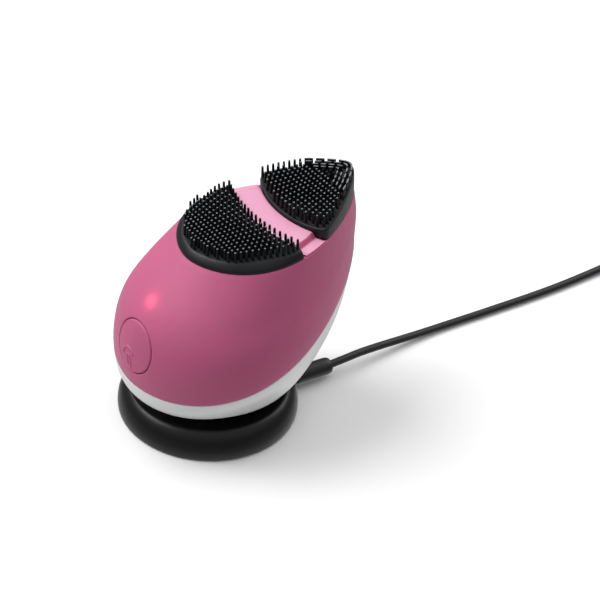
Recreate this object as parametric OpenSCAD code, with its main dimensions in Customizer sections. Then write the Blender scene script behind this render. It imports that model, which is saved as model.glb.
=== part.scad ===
// Rechargeable sonic cleansing brush on its round charging stand, with its charging lead.
// Millimetres. Origin: centre of the stand's underside. +Z up, +X towards the brush tip.

/* [Handset shells] */
// Wall thickness of both handset shells
wall = 2; // [1.6:0.1:2.2]
// Thickness of the platform under the brush pads
deck = 2.2; // [1.8:0.1:2.6]
// How blunt the narrow tip of every body ring is
tip_round = 0.1; // [0.06:0.01:0.16]
// Points along one flank of a body ring
flank_pts = 26; // [20:1:30]
// Rings between two neighbouring master sections
ring_steps = 4; // [3:1:5]

/* [Brush pads] */
// Height of the lower pad's skirt above the platform
skirt_h = 3.3; // [2.8:0.1:3.8]
// How far the lower pad's skirt leans in towards its top
skirt_lean = 3.0; // [2.4:0.1:3.4]
// Height of the upper pad's skirt at its rounded edge
upper_h = 4; // [3.6:0.1:4.4]
// Rise of the upper pad towards the tip, per millimetre
pad_rise = 0.2; // [0.1:0.01:0.24]
// Height of the ribs and bristles at the tip
upper_top = 12; // [11:0.1:12.5]
// Height of the bristles above the skirts
bristle_h = 4.4; // [3.8:0.1:4.8]
// Radius of the hollow edge of the lower pad
lower_edge_r = 59; // [57:0.5:59]
// Radius of the rounded edge of the upper pad
upper_edge_r = 41; // [39:0.5:41]
// Height of the glossy band between the pads
band_h = 3; // [2.4:0.1:3.2]

/* [Power button] */
// Radius of the round push button
button_r = 9.8; // [9:0.1:9.9]
// Gap between the button and its hole
button_gap = 0.3; // [0.2:0.05:0.4]

/* [Drive and power] */
// Radius of the rechargeable cell
cell_r = 8.2; // [7:0.1:8.3]
// Length of the rechargeable cell
cell_len = 44; // [34:1:46]
// Radius of the vibration motor's can
motor_r = 6; // [5:0.1:6]
// Radius of the eccentric weight
weight_r = 5.2; // [4:0.1:5.4]

/* [Stand] */
// Widest radius of the charging stand
stand_r = 33.4; // [33:0.1:34]
// Height of the rim of the dish
rim_h = 11.2; // [11:0.1:11.3]
// Level of the flat centre of the dish
dish_z = 6; // [5.8:0.05:6]
// Radius of the flat centre of the dish
dish_flat_r = 14.5; // [14:0.5:15]

/* [Lead] */
// Diameter of the charging lead
cord_d = 3; // [2.6:0.1:3]
// Radius of the plug's grip
plug_r = 3.35; // [3:0.05:3.4]
// Height of the plug's axis over the table
plug_z = 4.6; // [4.5:0.05:4.7]

/* [Hidden] */

// Master sections of the handset, from the flat underside up to the brush platform.
// Each is a plane egg: blunt end x, z; narrow end x, z; half width; blunt and narrow exponents.
sections = [
    [-10, 6.1, 13, 6.1, 11, 0.5, 0.5],          // flat spot that stands in the dish
    [-19, 11.6, 34.8, 14.8, 25.2, 0.51, 0.64],
    [-31.5, 17, 54.5, 29, 31.5, 0.5, 0.86],
    [-34.5, 25, 61, 47.5, 36.5, 0.53, 1],       // joint line of the two shells
    [-34, 40.5, 61.5, 59, 35, 0.55, 1.02],
    [-28.5, 53.5, 61.5, 67.5, 30.5, 0.56, 1],
    [-12.5, 71, 60, 76, 25, 0.56, 0.97]];       // edge of the brush platform
// How far each inner section moves up (below the joint line) or down (above it)
inner_shift = [2.2, 1.5, 0.6, 0, -0.4, -1, -deck];

tray_tilt = atan2(5, 72.5);
tray_len = sqrt(72.5 * 72.5 + 25);
joint_tilt = atan2(22.5, 95.5);
joint_len = sqrt(95.5 * 95.5 + 22.5 * 22.5);
plug_turn = -4;         // the socket looks slightly off the stand's own axis
plug_off = -6.2;
pin_x = 1.5;
pin_y = 6;
coil_c = [210, -34];
coil_in = 10.4;
coil_out = 22.6;
coil_h = 12.3;
// Route of the lead from the plug to its coil, along the table
route = [[48.7, -9.6, 4.6], [56, -9.6, 4.6], [64, -9.2, 4.2], [75, -9.2, 3.4], [87, -9.4, 2.4],
    [98.5, -9.7, 1.7], [110, -10.4, 1.5], [121.5, -11.3, 1.5], [133, -12.1, 1.5],
    [145, -12.9, 1.5], [157, -13.4, 1.5], [170, -13.5, 1.5], [183, -13.2, 1.5],
    [195, -13, 1.5], [204, -13, 1.5]];
// Route of the free end, down from the top of the coil to the other plug
tail = [[212, -13, 10.8], [222, -15, 10.4], [230.5, -22, 9.4], [234.5, -32, 8.2],
    [233, -43, 6.8], [226.5, -52.5, 5.4], [217, -58.5, 4.2], [208, -59.6, 3.8]];

// ---------- curves and lofts ----------
function egg_raw(s, a, b) = pow(s, a) * pow((1 - s) * (1 - s + tip_round), b / 2);
function egg_max(a, b) = max([for (i = [1 : 79]) egg_raw(i / 80, a, b)]);
function flank_s(i) = (1 - cos(180 * i / flank_pts)) / 2;
function blend4(p, q, r, s, t) = 0.5 * (2 * q + (r - p) * t + (2 * p - 5 * q + 4 * r - s) * t * t
    + (3 * q - p - 3 * r + s) * t * t * t);
function along(list, x) = let (n = len(list), i = min(max(floor(x), 0), n - 2), t = x - i,
    q = list[i], r = list[i + 1],
    p = i > 0 ? list[i - 1] : 2 * q - r, s = i + 2 < n ? list[i + 2] : 2 * r - q)
    blend4(p, q, r, s, t);
function inner_of(k, sh, w) = let (l = sqrt(pow(k[2] - k[0], 2) + pow(k[3] - k[1], 2)),
    ux = (k[2] - k[0]) / l, uz = (k[3] - k[1]) / l)
    [k[0] + ux * w, k[1] + uz * w + sh, k[2] - ux * w * 1.2, k[3] - uz * w * 1.2 + sh,
     k[4] - w, k[5], k[6]];
inner_sections = [for (j = [0 : 6]) inner_of(sections[j], inner_shift[j], wall)];
middle_sections = [for (j = [0 : 6]) inner_of(sections[j], inner_shift[j] / 2, wall / 2)];
function ring(k) = let (m = egg_max(k[5], k[6]))
    [for (i = [0 : 2 * flank_pts - 1])
        let (near = i <= flank_pts, s = flank_s(near ? i : 2 * flank_pts - i),
             w = k[4] * egg_raw(s, k[5], k[6]) / m)
        [k[0] + (k[2] - k[0]) * s, near ? -w : w, k[1] + (k[3] - k[1]) * s]];
// Closed solid through a stack of rings that all have the same number of points
module loft(rings) {
    m = len(rings[0]);
    n = len(rings);
    polyhedron(points = [for (r = rings) each r],
        faces = concat([[for (i = [0 : m - 1]) i]],
            [for (j = [0 : n - 2], i = [0 : m - 1]) let (a = j * m + i, b = j * m + (i + 1) % m)
                each [[a, a + m, b + m], [a, b + m, b]]],
            [[for (i = [m - 1 : -1 : 0]) (n - 1) * m + i]]), convexity = 6);
}
module body_solid(from, to)
    loft([for (j = [0 : (to - from) * ring_steps]) ring(along(sections, from + j / ring_steps))]);
module body_cavity(from, to)
    loft([for (j = [0 : (to - from) * ring_steps])
        ring(along(inner_sections, from + j / ring_steps))]);
// Half way through the wall, where the bosses end
module body_middle(from, to)
    loft([for (j = [0 : (to - from) * ring_steps])
        ring(along(middle_sections, from + j / ring_steps))]);
// Plane egg outline, inset all round
function egg2(len, half, a, b, inset) = let (m = egg_max(a, b))
    [for (i = [0 : 2 * flank_pts - 1])
        let (near = i <= flank_pts, s = flank_s(near ? i : 2 * flank_pts - i),
             w = (half - inset) * egg_raw(s, a, b) / m)
        [inset + (len - 2.3 * inset) * s, near ? -w : w]];
function tray_egg(inset) = egg2(tray_len, 25, 0.56, 0.97, inset);
function lift(pts, z) = [for (p = pts) [p[0], p[1], z]];
// Round tube along a list of points
function unit(v) = v / norm(v);
function path_pts(list, per) = [for (i = [0 : (len(list) - 1) * per]) along(list, i / per)];
module tube(pts, r, sides) {
    n = len(pts);
    rings = [for (i = [0 : n - 1]) let (
        t = unit(pts[min(i + 1, n - 1)] - pts[max(i - 1, 0)]),
        u = unit(cross([0, 0, 1], t)), v = cross(t, u))
        [for (k = [0 : sides - 1]) let (f = 360 * k / sides + 180 / sides)
            pts[i] + r / cos(180 / sides) * 0.985 * (u * cos(f) + v * sin(f))]];
    loft_open(rings);
}
module loft_open(rings) {
    m = len(rings[0]);
    n = len(rings);
    polyhedron(points = [for (r = rings) each r],
        faces = concat([[for (i = [m - 1 : -1 : 0]) i]],
            [for (j = [0 : n - 2], i = [0 : m - 1]) let (a = j * m + i, b = j * m + (i + 1) % m)
                each [[a, b + m, a + m], [a, b, b + m]]],
            [[for (i = [0 : m - 1]) (n - 1) * m + i]]), convexity = 6);
}

// ---------- local frames ----------
module tray_frame() translate([-12.5, 0, 71]) rotate([0, -tray_tilt, 0]) children();
module joint_frame() translate([-34.5, 0, 25]) rotate([0, -joint_tilt, 0]) children();
// z runs into the handset along the button's travel, x runs down along its face
module button_frame() translate([-33.6, 0, 40.3]) rotate([0, 102, 0]) children();
// x runs out of the stand along the plug
module plug_frame() rotate([0, 0, plug_turn]) translate([0, plug_off, plug_z]) children();

// ---------- handset ----------
peg_lower = [[8, 0], [22, 13], [22, -13]];
peg_upper = [[52, 0], [48, 11], [48, -11]];
boss_pts = [[24, 27], [24, -27], [80, 0]];

module front_shell() color([0.69, 0.33, 0.47]) resize([0, 0, 0]) difference() {
    body_solid(3, 6);
    union() {
        translate([0, 0, 0]) body_cavity(2.75, 6);
        button_frame() translate([0, 0, -4]) cylinder(r = button_r + button_gap, h = 14, $fn = 64);
        tray_frame() for (p = concat(peg_lower, peg_upper))
            translate([p[0], p[1], -5]) cylinder(r = 2.15, h = 8, $fn = 24);
    }
}
module rear_shell() color([0.86, 0.87, 0.87]) resize([0, 0, 0]) difference() {
    union() {
        difference() {
            body_solid(0, 3);
            body_cavity(0, 3.25);
        }
        intersection() {
            body_middle(0, 3);
            joint_frame() for (p = boss_pts)
                translate([p[0], p[1], -40]) cylinder(r = 3, h = 39, $fn = 24);
        }
    }
    union() {
        for (s = [-1, 1]) translate([pin_x, s * pin_y, 4]) cylinder(r = 2.7, h = 8, $fn = 32);
        joint_frame() for (p = boss_pts)
            translate([p[0], p[1], -7.5]) cylinder(r = 1.15, h = 10, $fn = 24);
    }
}
// Solid under a slanted plane: height h0 at x = 42, rising by pad_rise per millimetre
module under_slope(h0) translate([42, 0, h0]) rotate([0, -atan(pad_rise), 0])
    translate([-60, -60, -60]) cube([120, 120, 60]);
module brush_pad_lower() color([0.13, 0.14, 0.16]) tray_frame() resize([0, 0, 0]) union() {
    difference() {
        loft([lift(tray_egg(0.2), 0.06), lift(tray_egg(0.5), 1.2),
            lift(tray_egg(0.35 + skirt_lean * 0.5), skirt_h * 0.8),
            lift(tray_egg(skirt_lean), skirt_h), lift(tray_egg(skirt_lean + 0.3), skirt_h + 0.1),
            lift(tray_egg(skirt_lean + 0.4), skirt_h + bristle_h)]);
        translate([89, 0, -1]) cylinder(r = lower_edge_r, h = 12, $fn = 120);
    }
    for (p = peg_lower) translate([p[0], p[1], -3]) cylinder(r = 1.9, h = 4, $fn = 24);
}
module brush_pad_upper() color([0.13, 0.14, 0.16]) tray_frame() resize([0, 0, 0]) union() {
    intersection() {
        union() {
            intersection() {
                loft([lift(tray_egg(0.2), 0.06), lift(tray_egg(0.35), 3), lift(tray_egg(0.9), 12)]);
                under_slope(upper_h);
            }
            intersection() {
                loft([lift(tray_egg(1), 0.06), lift(tray_egg(1.2), upper_top)]);
                under_slope(upper_h + bristle_h);
            }
        }
        translate([81, 0, -1]) cylinder(r = upper_edge_r, h = 16, $fn = 120);
    }
    for (p = peg_upper) translate([p[0], p[1], -3]) cylinder(r = 1.9, h = 4, $fn = 24);
}
module band_insert() color([0.93, 0.72, 0.82]) tray_frame() resize([0, 0, 0]) difference() {
    intersection() {
        loft([lift(tray_egg(0.2), 0.06), lift(tray_egg(0.5), 0.6), lift(tray_egg(2.4), 0.8),
            lift(tray_egg(4.8), band_h - 0.2), lift(tray_egg(5.4), band_h)]);
        translate([89, 0, -1]) cylinder(r = lower_edge_r - 0.15, h = 12, $fn = 120);
    }
    translate([81, 0, -1]) cylinder(r = upper_edge_r + 0.15, h = 16, $fn = 120);
}
module power_button() color([0.64, 0.3, 0.43]) resize([0, 0, 0]) union() {
    intersection() {
        difference() {
            body_solid(3, 6);
            body_cavity(2.75, 6);
        }
        button_frame() translate([0, 0, -4]) cylinder(r = button_r, h = 14, $fn = 64);
    }
    button_frame() translate([0, 0, 1.6]) cylinder(r = 1.6, h = 3.2, $fn = 24);
}
module tact_switch() color("dimgray") button_frame() difference() {
    translate([-3, -3, 5.8]) cube([6, 6, 2.8]);
    translate([0, 0, 5]) cylinder(r = 1.25, h = 2.2, $fn = 32);
}
module switch_stem() color("white") button_frame() translate([0, 0, 4.85]) cylinder(r = 1.2, h = 1.6, $fn = 32);
module main_pcb() color("darkgreen") button_frame() translate([0, 0, 8.6]) union() {
    translate([-18.5, -8, 0]) cube([10, 16, 1.2]);
    translate([-10, -11, 0]) cube([22, 22, 1.2]);
    translate([-6, -7, 1.2]) cube([10, 10, 1.2]);
}
module indicator_led() color([1, 0.5, 0.6]) button_frame() union() {
    translate([-17.6, -1.4, 7.8]) cube([2.8, 2.8, 0.8]);
    translate([-16.2, 0, 7.4]) cylinder(r = 1.1, h = 0.5, $fn = 24);
}
module battery_cell() color("royalblue") joint_frame() translate([28, 0, -11.2]) rotate([0, 90, 0]) union() {
    cylinder(r = cell_r, h = cell_len, $fn = 64);
    translate([0, 0, cell_len]) cylinder(r = 2.8, h = 1.2, $fn = 32);
}
module chassis() color([0.75, 0.76, 0.74]) joint_frame() difference() {
    union() {
        translate([0, 0, -0.8]) linear_extrude(1.6) polygon(egg2(joint_len, 36.5, 0.53, 1, 5));
        for (x = [34, 62]) translate([x, -11, -9]) cube([3, 22, 8.4]);
    }
    translate([-1, -40, -5]) cube([17, 80, 10]);
    translate([20, 0, -11.2]) rotate([0, 90, 0]) cylinder(r = cell_r + 0.15, h = 60, $fn = 64);
    translate([26, -8, -3]) cube([34, 16, 5]);
    for (p = boss_pts) translate([p[0], p[1], -2]) cylinder(r = 1.35, h = 4, $fn = 32);
}
module chassis_screws() color("silver") joint_frame() for (p = boss_pts) translate([p[0], p[1], 0]) union() {
    translate([0, 0, 0.85]) cylinder(r = 2.3, h = 1.4, $fn = 32);
    translate([0, 0, -6.5]) cylinder(r = 1.1, h = 7.6, $fn = 32);
}
module shell_seal() color([0.2, 0.2, 0.2]) joint_frame() translate([0, 0, -0.8]) linear_extrude(1.6) difference() {
    polygon(egg2(joint_len, 36.5, 0.53, 1, 2.9));
    polygon(egg2(joint_len, 36.5, 0.53, 1, 4.3));
}
module motor_frame() tray_frame() translate([25, 0, -10.6]) rotate([-90, 0, 0]) children();
module motor_can() color("silver") motor_frame() difference() {
    union() {
        translate([0, 0, -12]) cylinder(r = motor_r, h = 17, $fn = 64);
        translate([0, 0, 5]) cylinder(r = 2.2, h = 1, $fn = 32);
    }
    translate([0, 0, -2]) cylinder(r = 0.8, h = 9, $fn = 32);
}
module motor_shaft() color("gray") motor_frame() translate([0, 0, -1.8]) cylinder(r = 0.75, h = 14.8, $fn = 32);
module eccentric_weight() color("goldenrod") motor_frame() translate([0, 0, 7.4]) difference() {
    intersection() {
        cylinder(r = weight_r, h = 5, $fn = 64);
        translate([-6, -1.6, -1]) cube([12, 9, 8]);
    }
    translate([0, 0, -1]) cylinder(r = 0.75, h = 8, $fn = 32);
}
module motor_bracket() color([0.75, 0.76, 0.74]) tray_frame() difference() {
    translate([17, -11, -10.4]) cube([16, 14, 7.8]);
    translate([25, 0, -10.6]) rotate([-90, 0, 0]) translate([0, 0, -20]) cylinder(r = motor_r + 0.05, h = 40, $fn = 64);
}
module charge_contacts() color("gold") for (s = [-1, 1]) translate([pin_x, s * pin_y, 6.1]) cylinder(r = 2.6, h = 2.4, $fn = 32);

// ---------- stand ----------
function dish(r) = r <= dish_flat_r ? dish_z : dish_z + 4.85 * pow((r - dish_flat_r) / (28.9 - dish_flat_r), 1.6);
dish_line = [for (r = [28.7 : -1.2 : dish_flat_r + 0.2]) [r, dish(r)]];
roof_line = [for (r = [dish_flat_r + 1 : 1.6 : 27.5]) [r, dish(r) - 1.5]];
outer_line = [[31.2, 0.5], [33.1, 0.5], [stand_r - 0.05, 0.8], [stand_r, 2], [stand_r - 0.1, 3.8],
    [stand_r - 0.45, 5.6], [stand_r - 0.95, 7.3], [stand_r - 1.65, 8.8], [stand_r - 2.5, 10],
    [stand_r - 3.4, rim_h - 0.35], [stand_r - 4.1, rim_h - 0.05], [stand_r - 4.4, rim_h - 0.1]];
module stand_housing() color([0.16, 0.16, 0.17]) difference() {
    union() {
        rotate_extrude($fn = 128) polygon(concat(outer_line, dish_line,
            [[dish_flat_r, dish_z], [0, dish_z], [0, dish_z - 1.5], [dish_flat_r, dish_z - 1.5]],
            roof_line, [[28.4, 8.6], [30.2, 7.6], [31.3, 5.5], [31.5, 3]]));
        for (f = [55, 175, 295]) rotate([0, 0, f]) translate([26.5, 0, 2.3]) cylinder(r = 2.5, h = 5.5, $fn = 32);
    }
    for (s = [-1, 1]) translate([pin_x, s * pin_y, 3]) cylinder(r = 1.75, h = 6, $fn = 32);
    for (f = [55, 175, 295]) rotate([0, 0, f]) translate([26.5, 0, 1]) cylinder(r = 0.95, h = 5.4, $fn = 32);
    plug_frame() union() {
        translate([28.5, 0, 0]) rotate([0, 90, 0]) cylinder(r = 2.1, h = 8, $fn = 48);
        translate([24, -3.75, -2.6]) cube([5, 7.5, 5.1]);
    }
}
module stand_base_cover() color([0.14, 0.14, 0.15]) difference() {
    translate([0, 0, 0.85]) cylinder(r = 31, h = 1.35, $fn = 96);
    for (f = [55, 175, 295]) rotate([0, 0, f]) translate([26.5, 0, 0]) union() {
        cylinder(r = 1.2, h = 3, $fn = 32);
        cylinder(r = 2.2, h = 1.5, $fn = 32);
    }
}
module foot_pad() color([0.1, 0.1, 0.1]) cylinder(r = 30, h = 0.8, $fn = 96);
module ballast_ring() color("slategray") difference() {
    translate([0, 0, 2.3]) cylinder(r = 22.5, h = 1.9, $fn = 96);
    translate([0, 0, 2]) cylinder(r = 12.2, h = 3, $fn = 64);
}
module stand_pcb() color("darkgreen") translate([pin_x - 6.5, -9, 2.3]) cube([12, 18, 0.8]);
module dc_jack() color([0.1, 0.1, 0.1]) plug_frame() difference() {
    translate([24.6, -3.6, -2.35]) cube([4.3, 7.2, 4.7]);
    translate([25.4, 0, 0]) rotate([0, 90, 0]) difference() {
        cylinder(r = 1.8, h = 8, $fn = 48);
        translate([0, 0, -1]) cylinder(r = 0.5, h = 6, $fn = 32);
    }
}
module pin_sleeves() color("gold") for (s = [-1, 1]) translate([pin_x, s * pin_y, 3.15]) difference() {
    cylinder(r = 1.7, h = 2.7, $fn = 32);
    translate([0, 0, 0.1]) cylinder(r = 1.06, h = 4, $fn = 32);
}
module charge_pin(s) color("gold") translate([pin_x, s * pin_y, 4.8]) cylinder(r = 1, h = 1.25, $fn = 32);
module pin_spring(s) color("silver") translate([pin_x, s * pin_y, 0])
    tube([for (i = [0 : 30]) [0.75 * cos(36 * i), 0.75 * sin(36 * i), 3.4 + 1.25 * i / 30]], 0.12, 6);
module stand_screws() color("silver") for (f = [55, 175, 295]) rotate([0, 0, f]) translate([26.5, 0, 0]) union() {
    translate([0, 0, 0.9]) cylinder(r = 1.8, h = 0.6, $fn = 32);
    translate([0, 0, 1.4]) cylinder(r = 0.9, h = 4.4, $fn = 32);
}

// ---------- lead ----------
module dc_plug_barrel() color("silver") plug_frame() translate([26, 0, 0]) rotate([0, 90, 0]) difference() {
    cylinder(r = 1.74, h = 7.6, $fn = 48);
    translate([0, 0, -1]) cylinder(r = 0.8, h = 7, $fn = 32);
}
module dc_plug_grip() color([0.12, 0.12, 0.12]) plug_frame() rotate([0, 90, 0]) rotate_extrude($fn = 64)
    polygon([[0, 33.6], [plug_r - 0.35, 33.6], [plug_r, 34], [plug_r, 48.4], [plug_r - 0.25, 49],
        [plug_r - 0.6, 49.2], [0, 49.2]]);
module cord_tube() color([0.15, 0.15, 0.16]) tube(path_pts(route, 2), cord_d / 2, 8);
module cord_coil() color([0.15, 0.15, 0.16]) translate([coil_c[0], coil_c[1], 0]) rotate_extrude($fn = 64)
    translate([coil_in, 0]) square([coil_out - coil_in, coil_h]);
module cord_tail() color([0.15, 0.15, 0.16]) tube(path_pts(tail, 2), cord_d / 2, 8);
module usb_plug_grip() color([0.12, 0.12, 0.12]) translate([0, -59.6, 3.8]) union() {
    translate([178, -5.8, -3.7]) cube([20.5, 11.6, 7.4]);
    translate([198.5, 0, 0]) rotate([0, 90, 0]) rotate_extrude($fn = 48)
        polygon([[0, 0], [3, 0], [2.3, 9.3], [0, 9.3]]);
}
module usb_plug_shell() color("silver") translate([165.8, -59.6, 3.8]) difference() {
    translate([0, -6, -2.25]) cube([12.2, 12, 4.5]);
    translate([-1, -5.7, -1.95]) cube([12.2, 11.4, 3.9]);
}
module usb_plug_tongue() color("white") translate([166.8, -59.6, 3.8]) translate([0, -5.5, 0.1]) cube([10.1, 11, 1.7]);

front_shell();
rear_shell();
brush_pad_lower();
brush_pad_upper();
band_insert();
power_button();
tact_switch();
switch_stem();
main_pcb();
indicator_led();
battery_cell();
chassis();
chassis_screws();
shell_seal();
motor_can();
motor_shaft();
eccentric_weight();
motor_bracket();
charge_contacts();
stand_housing();
stand_base_cover();
foot_pad();
ballast_ring();
stand_pcb();
dc_jack();
pin_sleeves();
charge_pin(1);  // charge_pin_left
charge_pin(-1);  // charge_pin_right
pin_spring(1);  // pin_spring_left
pin_spring(-1);  // pin_spring_right
stand_screws();
dc_plug_barrel();
dc_plug_grip();
cord_tube();
cord_coil();
cord_tail();
usb_plug_grip();
usb_plug_shell();
usb_plug_tongue();
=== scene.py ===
import math

import bmesh
import bpy
import numpy as np
from mathutils import Matrix, Vector
from mathutils.geometry import delaunay_2d_cdt


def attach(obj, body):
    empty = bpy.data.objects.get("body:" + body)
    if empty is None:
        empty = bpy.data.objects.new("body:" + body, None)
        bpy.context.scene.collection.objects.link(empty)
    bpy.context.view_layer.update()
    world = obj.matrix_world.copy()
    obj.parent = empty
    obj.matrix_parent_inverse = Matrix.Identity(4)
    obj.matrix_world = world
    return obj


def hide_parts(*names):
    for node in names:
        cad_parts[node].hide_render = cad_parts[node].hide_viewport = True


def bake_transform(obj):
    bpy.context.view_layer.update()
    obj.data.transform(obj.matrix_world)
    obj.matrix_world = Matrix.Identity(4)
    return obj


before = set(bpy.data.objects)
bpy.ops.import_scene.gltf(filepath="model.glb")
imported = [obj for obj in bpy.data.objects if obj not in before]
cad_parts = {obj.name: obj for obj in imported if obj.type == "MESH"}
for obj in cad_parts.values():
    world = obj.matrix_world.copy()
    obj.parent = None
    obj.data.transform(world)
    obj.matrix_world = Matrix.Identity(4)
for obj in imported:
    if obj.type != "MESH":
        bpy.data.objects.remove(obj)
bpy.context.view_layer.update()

scene = bpy.context.scene
MM = 0.001
rng = np.random.default_rng(7)

# ------------------------------------------------------------------ camera
cam_data = bpy.data.cameras.new("camera")
cam = bpy.data.objects.new("camera", cam_data)
scene.collection.objects.link(cam)
scene.camera = cam
cam_data.sensor_width = 36.0
cam_data.lens = 132.0
cam_data.clip_start, cam_data.clip_end = 0.01, 50
al, el, roll = math.radians(38.0), math.radians(36.8206), math.radians(4.3030)
c_r = Vector((math.cos(al), -math.sin(al), 0))
c_u = Vector((math.sin(al) * math.sin(el), math.cos(al) * math.sin(el), math.cos(el)))
c_f = Vector((math.sin(al) * math.cos(el), math.cos(al) * math.cos(el), -math.sin(el)))
c_x = c_r * math.cos(roll) + c_u * math.sin(roll)
c_y = -c_r * math.sin(roll) + c_u * math.cos(roll)
cam.matrix_world = Matrix((
    (c_x.x, c_y.x, -c_f.x, -0.363135), (c_x.y, c_y.y, -c_f.y, -0.515618),
    (c_x.z, c_y.z, -c_f.z, 0.522384), (0, 0, 0, 1)))

# ------------------------------------------------------------------ node materials


def new_mat(name):
    m = bpy.data.materials.new(name)
    m.use_nodes = True
    nt = m.node_tree
    nt.nodes.clear()
    out = nt.nodes.new("ShaderNodeOutputMaterial")
    b = nt.nodes.new("ShaderNodeBsdfPrincipled")
    nt.links.new(b.outputs[0], out.inputs[0])
    return m, nt, b


def srgb(r, g, b):
    f = lambda c: c / 12.92 if c <= 0.04045 else ((c + 0.055) / 1.055) ** 2.4
    return (f(r / 255), f(g / 255), f(b / 255), 1)


def coords(nt, scale=(1, 1, 1)):
    tc = nt.nodes.new("ShaderNodeTexCoord")
    if tuple(scale) == (1, 1, 1):
        return tc.outputs["Object"]
    mp = nt.nodes.new("ShaderNodeMapping")
    mp.inputs["Scale"].default_value = scale
    nt.links.new(tc.outputs["Object"], mp.inputs["Vector"])
    return mp.outputs["Vector"]


def noise(nt, vec, scale, detail=3.0, rough=0.55):
    n = nt.nodes.new("ShaderNodeTexNoise")
    n.inputs["Scale"].default_value = scale
    n.inputs["Detail"].default_value = detail
    n.inputs["Roughness"].default_value = rough
    nt.links.new(vec, n.inputs["Vector"])
    return n.outputs["Fac"]


def ramp(nt, fac, lo, hi, c0, c1):
    r = nt.nodes.new("ShaderNodeValToRGB")
    r.color_ramp.elements[0].position = lo
    r.color_ramp.elements[1].position = hi
    r.color_ramp.elements[0].color = c0
    r.color_ramp.elements[1].color = c1
    nt.links.new(fac, r.inputs["Fac"])
    return r.outputs["Color"]


def maprange(nt, fac, a, b, c, d, kind="SMOOTHSTEP"):
    r = nt.nodes.new("ShaderNodeMapRange")
    r.interpolation_type = kind
    for i, v in zip((1, 2, 3, 4), (a, b, c, d)):
        r.inputs[i].default_value = v
    nt.links.new(fac, r.inputs[0])
    return r.outputs[0]


def math_node(nt, op, a, b=None):
    n = nt.nodes.new("ShaderNodeMath")
    n.operation = op
    for i, v in enumerate((a, b)):
        if v is None:
            continue
        if isinstance(v, (int, float)):
            n.inputs[i].default_value = v
        else:
            nt.links.new(v, n.inputs[i])
    return n.outputs[0]


def mix(nt, fac, a, b):
    m = nt.nodes.new("ShaderNodeMix")
    m.data_type = "RGBA"
    for i, v in ((0, fac), (6, a), (7, b)):
        if isinstance(v, tuple) or isinstance(v, float):
            m.inputs[i].default_value = v
        else:
            nt.links.new(v, m.inputs[i])
    return m.outputs[2]


def bump(nt, bsdf, height, strength, distance):
    b = nt.nodes.new("ShaderNodeBump")
    b.inputs["Strength"].default_value = strength
    b.inputs["Distance"].default_value = distance
    nt.links.new(height, b.inputs["Height"])
    nt.links.new(b.outputs[0], bsdf.inputs["Normal"])
    return b


def tint(c, k):
    return tuple(min(1, x * k) for x in c[:3]) + (1,)


def plastic(name, base, rough, grain=9000, grain_mm=0.006, var=0.06, rough_var=0.06,
            blotch=60, metal=0.0, spec=0.5, coat=0.0, sheen=0.0, sheen_rough=0.4, stretch=(1, 1, 1),
            speck=None, ior=1.45):
    """A moulded or metal surface: blotchy colour, uneven roughness and a fine grain that catches light."""
    m, nt, b = new_mat(name)
    v = coords(nt, stretch)
    big = noise(nt, v, blotch, 3)
    col = ramp(nt, big, 0.3, 0.7, tint(base, 1 - var), tint(base, 1 + var))
    if speck:
        sp = noise(nt, v, 2600, 2)
        col = mix(nt, maprange(nt, sp, 0.66, 0.74, 0.0, 1.0), col, speck)
    nt.links.new(col, b.inputs["Base Color"])
    fine = noise(nt, v, grain, 2)
    mid = noise(nt, v, blotch * 9, 4)
    nt.links.new(maprange(nt, mid, 0.25, 0.75, rough - rough_var, rough + rough_var, "LINEAR"), b.inputs["Roughness"])
    bump(nt, b, fine, 0.6, grain_mm * MM)
    b.inputs["Metallic"].default_value = metal
    b.inputs["Specular IOR Level"].default_value = spec
    b.inputs["IOR"].default_value = ior
    if coat:
        b.inputs["Coat Weight"].default_value = coat
        b.inputs["Coat Roughness"].default_value = 0.12
    if sheen:
        b.inputs["Sheen Weight"].default_value = sheen
        b.inputs["Sheen Roughness"].default_value = sheen_rough
    return m


PINK = (0.565, 0.112, 0.24, 1)
LED_AT = (-0.0258, 0.0007, 0.0569)


def soft_touch(name, base, led=False):
    m, nt, b = new_mat(name)
    v = coords(nt)
    big = noise(nt, v, 45, 3)
    col = ramp(nt, big, 0.3, 0.7, tint(base, 0.97), tint(base, 1.03))
    nt.links.new(col, b.inputs["Base Color"])
    fine = noise(nt, v, 7000, 3, 0.6)
    mid = noise(nt, v, 500, 3)
    nt.links.new(maprange(nt, mid, 0.3, 0.7, 0.5, 0.58, "LINEAR"), b.inputs["Roughness"])
    bump(nt, b, fine, 0.5, 0.008 * MM)
    b.inputs["Specular IOR Level"].default_value = 0.4
    b.inputs["Sheen Weight"].default_value = 0.12
    b.inputs["Sheen Roughness"].default_value = 0.5
    b.inputs["Sheen Tint"].default_value = (1.0, 0.8, 0.9, 1)
    if led:
        d = nt.nodes.new("ShaderNodeVectorMath")
        d.operation = "DISTANCE"
        nt.links.new(v, d.inputs[0])
        d.inputs[1].default_value = LED_AT
        core = maprange(nt, d.outputs["Value"], 0.0, 0.0046, 1.0, 0.0)
        halo = maprange(nt, d.outputs["Value"], 0.0, 0.0105, 1.0, 0.0)
        g = math_node(nt, "ADD", math_node(nt, "MULTIPLY", math_node(nt, "POWER", core, 1.5), 0.62),
                      math_node(nt, "MULTIPLY", math_node(nt, "POWER", halo, 2.2), 0.22))
        nt.links.new(mix(nt, g, (0.0, 0.0, 0.0, 1.0), (1.0, 0.085, 0.155, 1.0)), b.inputs["Emission Color"])
        b.inputs["Emission Strength"].default_value = 1.0
    return m


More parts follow.
